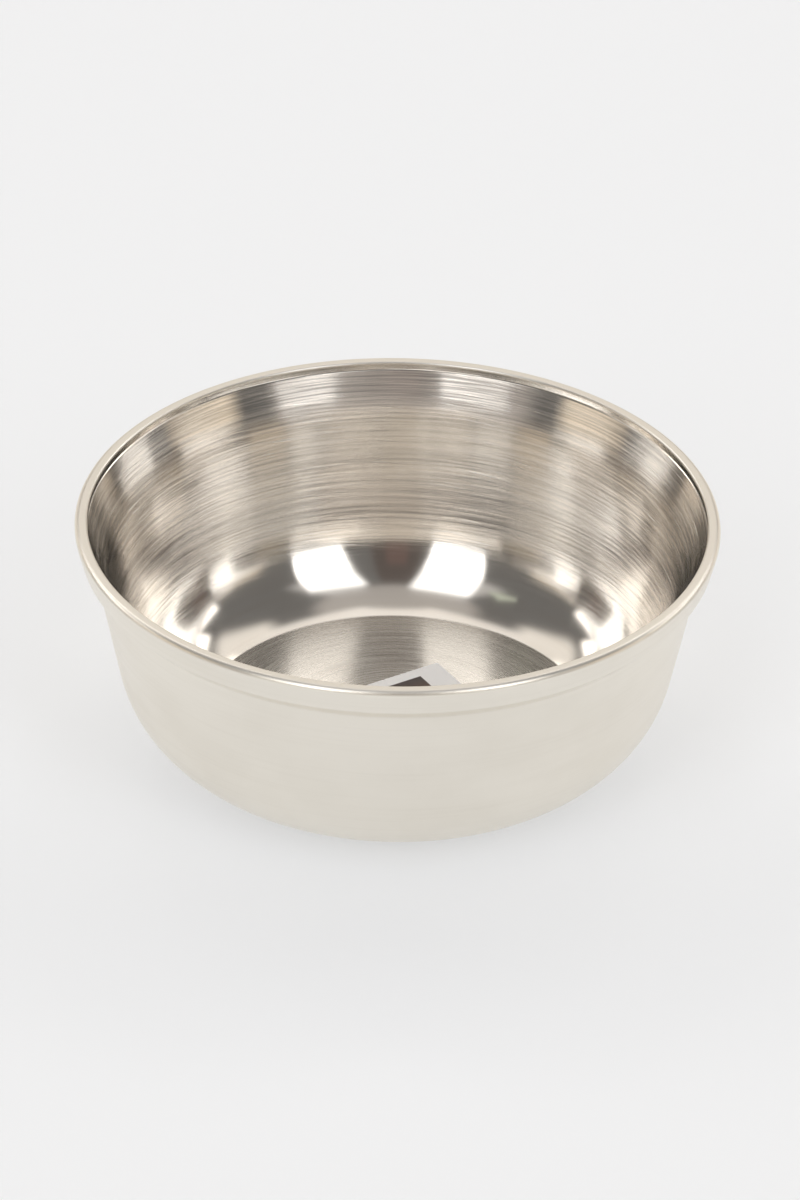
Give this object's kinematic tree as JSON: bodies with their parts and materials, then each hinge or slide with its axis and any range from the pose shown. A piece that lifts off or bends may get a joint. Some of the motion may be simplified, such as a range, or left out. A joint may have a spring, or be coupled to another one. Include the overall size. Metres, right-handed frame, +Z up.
{
  "type": "bowl",
  "caption": "Small double-wall stainless steel bowl with a flat rim ring, a lip band above a stepped-in wall, round lower corners and a foot ring.",
  "frame": {"origin": "on the table, at the centre of the foot ring, on the bowl's axis", "axes": "+Z up along the bowl's axis, out of its mouth; +Y away from the viewer of the picture"},
  "size_m": [0.13, 0.13, 0.0512],
  "materials": {
    "satin_steel": "satin",
    "brushed_steel": "lathe brushed wall, polished lower corner",
    "polished_weld": "ground flush and polished",
    "label_paper": "coated paper, plain white with a plain dark panel"
  },
  "bodies": {
    "root": {"outer_shell": "satin_steel", "inner_shell": "brushed_steel", "rim_weld": "polished_weld", "paper_label": "label_paper"}
  },
  "joints": []
}
